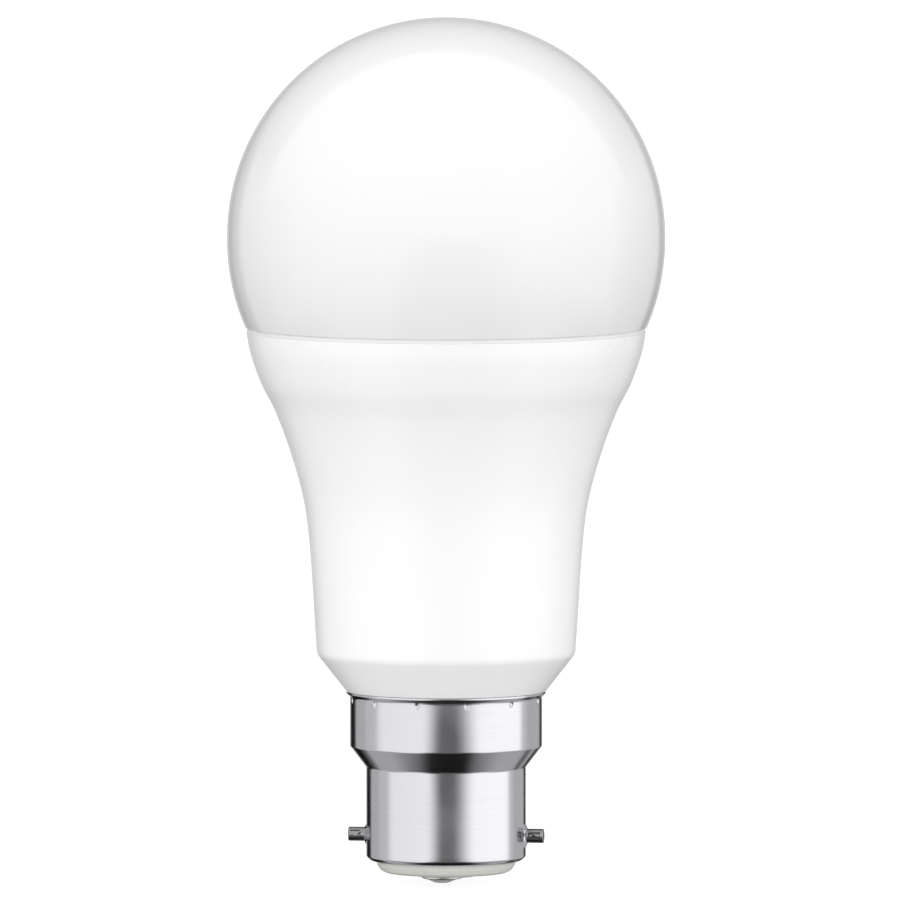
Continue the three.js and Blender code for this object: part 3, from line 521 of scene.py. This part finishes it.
def make_housing():
    wall = spline([
        (WAIST_RADIUS, WAIST_Z),
        (18.05, 36.2),
        (18.62, 45.0),
        (19.45, 51.9),
        (21.2, 58.45),
        (23.35, 64.3),
        (25.4, 68.4),
        (26.85, 72.6),
        (RIM_RADIUS, RIM_Z),
    ], 10)
    lining = offset(wall[4:], HOUSING_WALL)[::-1]
    lining[0] = (lining[0][0], RIM_Z)
    outline = [
        (NECK_BORE, housing_low.z, 0.2),
        (NECK_RADIUS, housing_low.z, 0.5),
        (NECK_RADIUS, CONE_BOTTOM_Z),
        (CONE_BOTTOM_RADIUS, CONE_BOTTOM_Z, 0.06),
        (WAIST_RADIUS, WAIST_Z, WAIST_FILLET),
        *wall[8:-2],
        (RIM_RADIUS, RIM_Z, 0.06),
        (lining[0][0], RIM_Z, 0.15),
        *lining[2:],
        (NECK_BORE, CONE_BOTTOM_Z + 1.4, 0.8),
    ]
    housing = revolve("housing", subdivided(rounded(outline), 1.6))
    board_low, board_high = extent("driver_board")
    middle = (board_low.y + board_high.y) / 2
    for side in (-1, 1):
        for face in (-1, 1):
            xs = sorted((side * (BOARD_NECK_HALF - 0.9), side * (NECK_RADIUS - 0.95)))
            ys = sorted((middle + face * RAIL_GAP, middle + face * (RAIL_GAP + RAIL_THICKNESS)))
            low = (xs[0], ys[0], housing_low.z + 1)
            high = (xs[1], ys[1], CONE_BOTTOM_Z + 1)
            combine(housing, soft_block("rail", low, high, 0.1, 2), "UNION")
    housing.data.materials.clear()
    housing.data.materials.append(housing_plastic())
    return place(housing, "housing_white", "housing_shell")


def mark_angles():
    return [math.radians(MARK_PHASE - 90 + 360 * i / MARK_COUNT) for i in range(MARK_COUNT)]


def cap_columns():
    """Angles of the cap's columns: one a degree, and closer together over each punch mark."""
    angles = set(even_columns(360))
    for middle in mark_angles():
        angles |= {(middle + math.radians(k * 0.3)) % (2 * math.pi) for k in range(-9, 10)}
    kept = []
    for a in sorted(angles):
        if not kept or a - kept[-1] > math.radians(0.12):
            kept.append(a)
    return kept


def cap_warp(x, y, z):
    """Pushes in the punch marks, and draws the metal out round the pins."""
    r = math.hypot(x, y)
    angle = math.atan2(y, x)
    move = 0.0
    if r > SKIRT_RADIUS - 0.1 and z > 20:
        for middle in mark_angles():
            turn = (angle - middle + math.pi) % (2 * math.pi) - math.pi
            across = turn * r / MARK_WIDTH
            up = (z - MARK_Z) / MARK_HEIGHT
            away = across * across + up * up
            if away < 1:
                move -= MARK_DEPTH * (1 - away) ** 0.8
    if abs(r - SHELL_RADIUS) < 0.3 and abs(x) > SHELL_RADIUS * 0.8 and z < 12:
        away = math.hypot(y, z - PIN_Z)
        move += BOSS_HEIGHT * (1 - smooth(away, PIN_HOLE - 0.1, BOSS_RADIUS)) ** 2
    scale = (r + move) / r
    return x * scale, y * scale, z


def make_cap():
    marks_from = MARK_Z - MARK_HEIGHT - 0.1
    outside = rounded([
        (TURNED_IN_RADIUS, cap_low.z + TURNED_IN_LIFT, 0.08),
        (9.95, 2.66, 0.2),
        (10.5, 2.86, 0.3),
        (SHELL_RADIUS, SHELL_BOTTOM_Z - 0.13, 0.3),
        (SHELL_RADIUS, PIN_Z - BOSS_RADIUS),
        (SHELL_RADIUS, PIN_Z + BOSS_RADIUS),
        (SHELL_RADIUS, SHOULDER_BOTTOM_Z - 0.25, 0.1),
        (SHELL_RADIUS + 0.06, SHOULDER_BOTTOM_Z - 0.1, 0.05),
        (SKIRT_RADIUS, SHOULDER_TOP_Z, 0.35),
        (SKIRT_RADIUS, marks_from),
        (SKIRT_RADIUS, LIP_TOP_Z - 0.74, 0.5),
        (LIP_RADIUS - 0.18, LIP_TOP_Z - 0.43, 0.12),
        (LIP_RADIUS, LIP_TOP_Z - 0.25, 0.05),
        (LIP_RADIUS, LIP_TOP_Z, 0.04),
        (SKIRT_RADIUS - CAP_WALL, LIP_TOP_Z),
    ], closed=False)
    inside = [
        (SKIRT_RADIUS - CAP_WALL, SHOULDER_TOP_Z + 0.3),
        (SKIRT_RADIUS - 0.35 - CAP_WALL, SHOULDER_TOP_Z - 0.15),
        (SHELL_RADIUS + 0.15 - CAP_WALL, SHOULDER_BOTTOM_Z + 0.2),
        (SHELL_RADIUS - CAP_WALL, SHOULDER_BOTTOM_Z - 0.5),
        (SHELL_RADIUS - CAP_WALL, SHELL_BOTTOM_Z + 0.55),
        (9.9, 3.1),
        (TURNED_IN_RADIUS, 2.9),
    ]
    fine = []
    for here, there in zip(outside, outside[1:]):
        highest = max(here[1], there[1]) - 0.01
        near_marks = highest > marks_from and here[0] > SKIRT_RADIUS - 0.1
        near_pins = highest > PIN_Z and min(here[1], there[1]) < PIN_Z + BOSS_RADIUS - 0.01
        if near_marks:
            fine += subdivided([here, there], 0.08)[:-1]
        elif near_pins:
            fine += subdivided([here, there], 0.14)[:-1]
        else:
            fine.append(here)
    fine.append(outside[-1])
    cap = revolve("cap", fine + inside, cap_columns(), cap_warp)
    for side in (-1, 1):
        drill = turned(bar("drill", PIN_HOLE, 9.5, 12.5), 90 * side, "Y", (0, 0, PIN_Z))
        combine(cap, drill, "DIFFERENCE")
    cap.data.materials.clear()
    cap.data.materials.append(cap_metal("cap_plating", (0.702, 0.694, 0.728), (0.14, 0.18)))
    return place(cap, "cap_metal", "cap_shell")


def make_pin(side, name, node):
    half_length, half_width, depth = PIN_MARKS[side]
    profile = rounded([
        (0, PIN_HEAD_X),
        (PIN_HEAD_RADIUS, PIN_HEAD_X, 0.2),
        (PIN_HEAD_RADIUS, PIN_HEAD_END_X, 0.15),
        (PIN_RADIUS, PIN_HEAD_END_X),
        (PIN_RADIUS, PIN_TIP_X, 0.11),
        (0, PIN_TIP_X - 0.02),
    ], closed=False)

    def marked(x, y, z):
        """Presses an oblong tool mark into the shank's side, with a slanting ridge on its floor."""
        along = (z - (SHELL_RADIUS + PIN_TIP_X) / 2 - 0.05) / half_length
        across = (side * math.atan2(x, -y) + PIN_MARK_LIFT) * PIN_RADIUS / half_width
        if z < SHELL_RADIUS or z > PIN_TIP_X - 0.2 or max(abs(along), abs(across)) > 1.4:
            return x, y, z
        press = (1 - smooth(abs(along), 0.85, 1.05)) * (1 - smooth(abs(across), 0.7, 1.1))
        ridge = 1 - smooth(abs(along - 0.5 * across + 0.3), 0, 0.3)
        scale = 1 - depth * press * (1 - 0.6 * ridge) / PIN_RADIUS
        return x * scale, y * scale, z

    pin = revolve(name, subdivided(profile, 0.09), even_columns(96), marked)
    turned(pin, 90 * side, "Y", (0, 0, PIN_Z))
    pin.data.materials.append(pin_metal(name + "_plating"))
    return place(pin, "cap_metal", node)


def oval_block(name, grow, low, high, side):
    """A straight-sided oval on a contact's place, larger than the contact's plate by grow."""
    piece = bar(name, 1, low, high, 96)
    piece.data.transform(Matrix.Diagonal((CONTACT_HALF_X + grow, CONTACT_HALF_Y + grow, 1, 1)))
    return turned(piece, 0, "Z", (0, side * CONTACT_Y, 0))


def make_insulator():
    profile = rounded([
        (0, insulator_low.z),
        (3.3, insulator_low.z + 0.03, 1.5),
        (4.2, 0.6, 1.5),
        (5.2, 0.79, 1.5),
        (6.4, 0.95, 2),
        (8.3, 1.1, 0.6),
        (8.95, 1.4, 0.6),
        (9.35, 1.95, 0.5),
        (9.58, 2.5, 0.3),
        (9.58, 3.1, 0.2),
        (10.35, 4.0, 0.2),
        (10.35, insulator_high.z, 0.15),
        (8.6, insulator_high.z, 0.2),
        (8.2, 3.9, 0.3),
        (0, 3.9),
    ], closed=False)
    insulator = revolve("insulator", subdivided(profile, 0.9), even_columns(144))
    for side in (-1, 1):
        combine(insulator, oval_block("pocket", POCKET_GAP, 0, POCKET_FLOOR_Z, side), "DIFFERENCE")
        eyelet = turned(bar("eyelet", EYELET_HOLE, 0, 6), 0, "Z", (0, side * CONTACT_Y, 0))
        combine(insulator, eyelet, "DIFFERENCE")
    insulator.data.materials.clear()
    insulator.data.materials.append(
        moulded("insulator_plastic", (0.69, 0.7, 0.65), (0.32, 0.48), 1400, 1.2e-5, 0.035))
    return place(insulator, "insulator", "cap_insulator")


def make_contact(side, name):
    """Oval plate with a rolled edge, over a tubular eyelet that goes up through the insulator."""
    low, high = plate_low.z, PLATE_TOP_Z
    profile = rounded([
        (0.45, low, 0.06),
        (CONTACT_HALF_Y, low, 0.18),
        (CONTACT_HALF_Y, high, 0.12),
        (EYELET_RADIUS, high, 0.08),
        (EYELET_RADIUS, plate_high.z, 0.05),
        (0.45, plate_high.z, 0.05),
    ])

    def oval(x, y, z):
        wide = 1 + (CONTACT_HALF_X / CONTACT_HALF_Y - 1) * smooth(math.hypot(x, y), 0.9, CONTACT_HALF_Y)
        return x * wide, y + side * CONTACT_Y, z

    plate = revolve(f"contact_{name}", subdivided(profile, 0.4), even_columns(72), oval)
    plate.data.materials.append(cap_metal(f"contact_{name}_tin", (0.62, 0.62, 0.61), (0.24, 0.4)))
    place(plate, "tinned", f"contact_plate_{name}")


def make_solder(side, name):
    """A low dome with a flat worn land, slightly uneven between the land and its root."""
    top = solder_high.z

    def lumpy(x, y, z):
        between = smooth(math.hypot(x, y), 0.9, 1.5) * (1 - smooth(z, 0.4, top))
        lump = abs(noise.noise(Vector((x, y, z + side)) * 1.6) * between)
        scale = 1 - 0.06 * lump
        return x * scale, y * scale + side * CONTACT_Y, z + 0.05 * lump

    dome = [(0, 0), (SOLDER_LAND / 2, 0), (SOLDER_LAND, 0)]
    dome += [(SOLDER_LAND + (SOLDER_RADIUS - SOLDER_LAND) * t, top * t ** 1.3)
             for t in (k / 16 for k in range(1, 17))]
    solder = revolve(f"solder_{name}", dome + [(0, top)], even_columns(64), lumpy)
    solder.data.materials.append(bpy.data.materials.get("solder_metal") or solder_metal())
    place(solder, "solder", f"contact_solder_{name}")


# ---- inner parts, kept from the CAD model -----------------------------------------------------

INNER = {  # node name prefix: colour, roughness range, grain per metre, relief, tone change, metal
    "heat_sink_cup": ((0.72, 0.73, 0.74), (0.28, 0.45), 600, 1e-5, 0.06, 1.0),
    "heat_spreader_plate": ((0.72, 0.73, 0.74), (0.3, 0.42), 900, 8e-6, 0.05, 1.0),
    "thermal_pad": ((0.28, 0.3, 0.32), (0.7, 0.9), 1600, 2e-5, 0.1, 0.0),
    "led_board_screw": ((0.6, 0.61, 0.62), (0.25, 0.4), 2200, 1e-5, 0.08, 1.0),
    "led_board_socket": ((0.8, 0.8, 0.76), (0.35, 0.5), 1500, 8e-6, 0.04, 0.0),
    "led_board": ((0.86, 0.86, 0.83), (0.3, 0.45), 1300, 5e-6, 0.03, 0.0),
    "led_warm_white": ((0.88, 0.46, 0.06), (0.2, 0.35), 2600, 1e-5, 0.09, 0.0),
    "led_cool_white": ((0.86, 0.7, 0.1), (0.2, 0.35), 2600, 1e-5, 0.09, 0.0),
    "led_colour": ((0.82, 0.81, 0.76), (0.2, 0.3), 2600, 8e-6, 0.05, 0.0),
    "driver_pin_header": ((0.02, 0.02, 0.022), (0.35, 0.5), 1800, 1e-5, 0.2, 0.0),
    "wireless_board": ((0.012, 0.05, 0.13), (0.25, 0.4), 1400, 1e-5, 0.15, 0.0),
    "wireless_shield_can": ((0.62, 0.63, 0.64), (0.2, 0.35), 1500, 8e-6, 0.05, 1.0),
    "wireless_antenna": ((0.7, 0.36, 0.18), (0.25, 0.4), 2600, 6e-6, 0.1, 1.0),
    "wireless_header": ((0.02, 0.02, 0.022), (0.35, 0.5), 1800, 1e-5, 0.2, 0.0),
    "driver_board": ((0.03, 0.15, 0.06), (0.25, 0.42), 1300, 1.5e-5, 0.15, 0.0),
    "input_capacitor": ((0.015, 0.02, 0.06), (0.2, 0.32), 900, 8e-6, 0.15, 0.0),
    "output_capacitor": ((0.015, 0.02, 0.06), (0.2, 0.32), 900, 8e-6, 0.15, 0.0),
    "transformer_core": ((0.045, 0.045, 0.05), (0.5, 0.7), 2400, 2.5e-5, 0.25, 0.0),
    "transformer_bobbin": ((0.03, 0.03, 0.032), (0.35, 0.5), 1600, 1e-5, 0.15, 0.0),
    "transformer_winding": ((0.68, 0.3, 0.1), (0.25, 0.42), 1.0, 6e-5, 0.25, 1.0),
    "filter_choke_core": ((0.045, 0.045, 0.05), (0.5, 0.7), 2400, 2.5e-5, 0.25, 0.0),
    "filter_choke_winding": ((0.68, 0.3, 0.1), (0.25, 0.42), 1.0, 6e-5, 0.25, 1.0),
    "film_capacitor": ((0.68, 0.4, 0.06), (0.25, 0.4), 1000, 2e-5, 0.1, 0.0),
    "surge_varistor": ((0.03, 0.13, 0.5), (0.3, 0.45), 1100, 2.5e-5, 0.12, 0.0),
    "fusible_resistor": ((0.52, 0.38, 0.2), (0.4, 0.55), 1300, 2e-5, 0.1, 0.0),
    "bridge_rectifier": ((0.018, 0.018, 0.02), (0.4, 0.6), 2200, 1.5e-5, 0.2, 0.0),
    "driver_chip": ((0.018, 0.018, 0.02), (0.4, 0.6), 2200, 1.5e-5, 0.2, 0.0),
    "live_lead": ((0.2, 0.075, 0.03), (0.4, 0.55), 1500, 1e-5, 0.1, 0.0),
    "neutral_lead": ((0.035, 0.14, 0.5), (0.4, 0.55), 1500, 1e-5, 0.1, 0.0),
}


def finish_inner_nodes():
    """Gives every CAD node that stays in view the finish of the longest matching prefix."""
    for name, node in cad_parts.items():
        if node.hide_render:
            continue
        prefix = max((p for p in INNER if name.startswith(p)), key=len)
        material = bpy.data.materials.get("inner_" + prefix)
        if material is None:
            colour, roughness, grain, depth, vary, metallic = INNER[prefix]
            wound = grain == 1.0
            stretch = (900, 900, 9000) if wound else (1, 1, 1)
            material = moulded("inner_" + prefix, colour, roughness, grain, depth, vary,
                               stretch, metallic)
        node.data.materials.clear()
        node.data.materials.append(material)


# ---- studio -----------------------------------------------------------------------------------

AZIMUTH = math.radians(8)
ELEVATION = math.radians(4)
DISTANCE = 3.0
LENS = 876
AIM_RIGHT = 0.53  # millimetres from the bulb's axis to the middle of the frame
AIM_Z = 59.1

WALL, WALL_DOWN, WALL_UP = 1.3, 0.97, -0.13  # soft light in front: level, then change with height
CLOTH, CLOTH_UP = 0.4, 0.24  # soft light behind, and its change with height
SLOT_SHINE = 0.12  # the dark slot in front
PANEL_SHINE = 0.64  # side panels
CLOTH_SHINE, CLOTH_SHINE_ABOVE = 0.52, 0.16
LOWER_SHINE = 0.47  # below, at the sides
UNDER_SHINE = 0.01  # straight below
FAR_SHINE = 0.5  # right behind the bulb
BACKDROP = 1.05  # as the camera sees it
TO_CAMERA = Vector((math.sin(AZIMUTH), -math.cos(AZIMUTH), 0))
TO_RIGHT = Vector((math.cos(AZIMUTH), math.sin(AZIMUTH), 0))


def make_camera():
    camera = bpy.data.objects.new("camera", bpy.data.cameras.new("camera"))
    bpy.context.scene.collection.objects.link(camera)
    camera.data.lens = LENS
    camera.data.sensor_width = 36
    camera.data.clip_start = 0.1
    camera.data.clip_end = 10
    back = TO_CAMERA * math.cos(ELEVATION) + Vector((0, 0, math.sin(ELEVATION)))
    target = TO_RIGHT * AIM_RIGHT * MM + Vector((0, 0, AIM_Z * MM))
    camera.location = target + back * DISTANCE
    camera.rotation_euler = back.to_track_quat("Z", "Y").to_euler()
    bpy.context.scene.camera = camera


def make_floor():
    """Pale floor, seen by the camera only, so that it neither lights nor darkens the bulb."""
    mesh = bpy.data.meshes.new("floor")
    z = cad_box[0].z - 0.5 * MM
    mesh.from_pydata([(-4, -4, z), (4, -4, z), (4, 4, z), (-4, 4, z)], [], [(0, 1, 2, 3)])
    floor = bpy.data.objects.new("floor", mesh)
    bpy.context.scene.collection.objects.link(floor)
    floor.visible_diffuse = False
    floor.visible_glossy = False
    floor.visible_transmission = False
    floor.visible_shadow = False
    material, graph, shader, where = new_material("floor_white")
    clouds = graph.noise(where, 3, 2.0, 0.5)
    tint = graph.blend(clouds, (0.29, 0.29, 0.29, 1), (0.31, 0.31, 0.31, 1))
    connect(graph, shader, Base_Color=tint)
    shader.inputs["Roughness"].default_value = 0.9
    shader.inputs["Emission Color"].default_value = (1, 1, 1, 1)
    shader.inputs["Emission Strength"].default_value = 0.84
    mesh.materials.append(material)


def make_light():
    """A wide soft wall of light in front, dim cloth behind, and dark gaps that only gloss shows."""
    world = bpy.data.worlds.new("studio")
    bpy.context.scene.world = world
    world.use_nodes = True
    world.node_tree.nodes.clear()
    world.cycles.sampling_method = "NONE"
    graph = Graph(world.node_tree)
    way = graph.node("TexCoord")
    add = partial(graph.math, "ADD")
    minus = partial(graph.math, "SUBTRACT")
    times = partial(graph.math, "MULTIPLY")

    def along(axis):
        return graph.node("VectorMath", {0: way, 1: axis}, out=1, operation="DOT_PRODUCT")

    def mix(factor, a, b):
        """a where the factor is 0, b where it is 1."""
        return add(a, times(factor, minus(b, a)))

    def rise(angle, low, high):
        """0 where the angle is below low, 1 above high, in degrees."""
        return graph.span(angle, math.radians(low), math.radians(high), 0.0, 1.0, True)

    front, right, up = along(TO_CAMERA), along(TO_RIGHT), along((0, 0, 1))
    facing = add(times(front, math.cos(ELEVATION)), times(up, math.sin(ELEVATION)))
    away = graph.math("ARCCOSINE", facing)  # angle from the camera's side of the studio
    side = graph.math("ARCTAN2", right, front)  # negative to the left
    height = graph.math("ARCSINE", up)
    above = graph.math("MAXIMUM", up, 0.0)
    under = graph.math("MINIMUM", up, 0.0)

    wall = add(add(times(under, WALL_DOWN), times(above, WALL_UP)), WALL)
    cloth = add(times(up, CLOTH_UP), CLOTH)
    soft_light = mix(rise(away, 108, 110), wall, cloth)

    # In gloss: the wall, brighter to the right near the horizon.
    level = times(rise(height, -28, -16), rise(height, 20, 8))
    tilted = add(times(graph.math("SINE", side), 0.13), 1.2)
    shiny = mix(level, 1.0, tilted)

    # Grey side panels near the horizon, nearer on the left, then the cloth, then darkness.
    panel = mix(rise(side, -10, 10), rise(away, 84, 98), rise(away, 98, 108))
    shiny = mix(times(panel, level), shiny, PANEL_SHINE)
    low_back = rise(height, 20, 8)
    back = mix(low_back, CLOTH_SHINE_ABOVE, CLOTH_SHINE)
    shiny = mix(rise(away, 113.5, 115.5), shiny, back)
    edge = mix(rise(side, -10, 10), rise(away, 138, 143), rise(away, 149, 154))
    shiny = mix(times(edge, low_back), shiny, 0.0)

    # Lower down it is grey at the sides and dark behind.
    outer = rise(graph.math("ABSOLUTE", side), 60, 95)
    lower = mix(outer, 1.0, mix(rise(away, 129, 138), LOWER_SHINE, 0.0))
    shiny = mix(rise(height, -20, -34), shiny, lower)

    # A dark slot in front, wider further down; darkness under the bulb, and light right behind it.
    below = graph.math("MAXIMUM", times(height, -1.0), 0.0)
    half = add(times(below, 0.54), math.radians(14))
    across = minus(side, add(times(below, 0.073), math.radians(4)))
    slot = times(rise(add(across, half), -16, 8), rise(minus(across, half), 22, -14))
    shiny = mix(times(slot, rise(height, 8, -5)), shiny, SLOT_SHINE)
    shiny = mix(rise(height, -50, -75), shiny, UNDER_SHINE)
    shiny = mix(rise(away, 160, 168), shiny, FAR_SHINE)

    path = graph.tree.nodes.new("ShaderNodeLightPath")
    light = mix(path.outputs["Is Glossy Ray"], soft_light, shiny)
    light = mix(path.outputs["Is Camera Ray"], light, BACKDROP)
    shader = graph.node("Background", {"Color": light, "Strength": 1.0})
    graph.node("OutputWorld", {"Surface": shader}, out=None)
    bpy.context.scene.view_settings.view_transform = "Standard"


# ---- assembly ---------------------------------------------------------------------------------

make_camera()
make_floor()
make_light()
make_globe()
make_seal()
make_housing()
make_cap()
make_pin(-1, "pin_left", "bayonet_pin_left")
make_pin(1, "pin_right", "bayonet_pin_right")
make_insulator()
for side, name in ((-1, "front"), (1, "back")):
    make_contact(side, name)
    make_solder(side, name)
finish_inner_nodes()
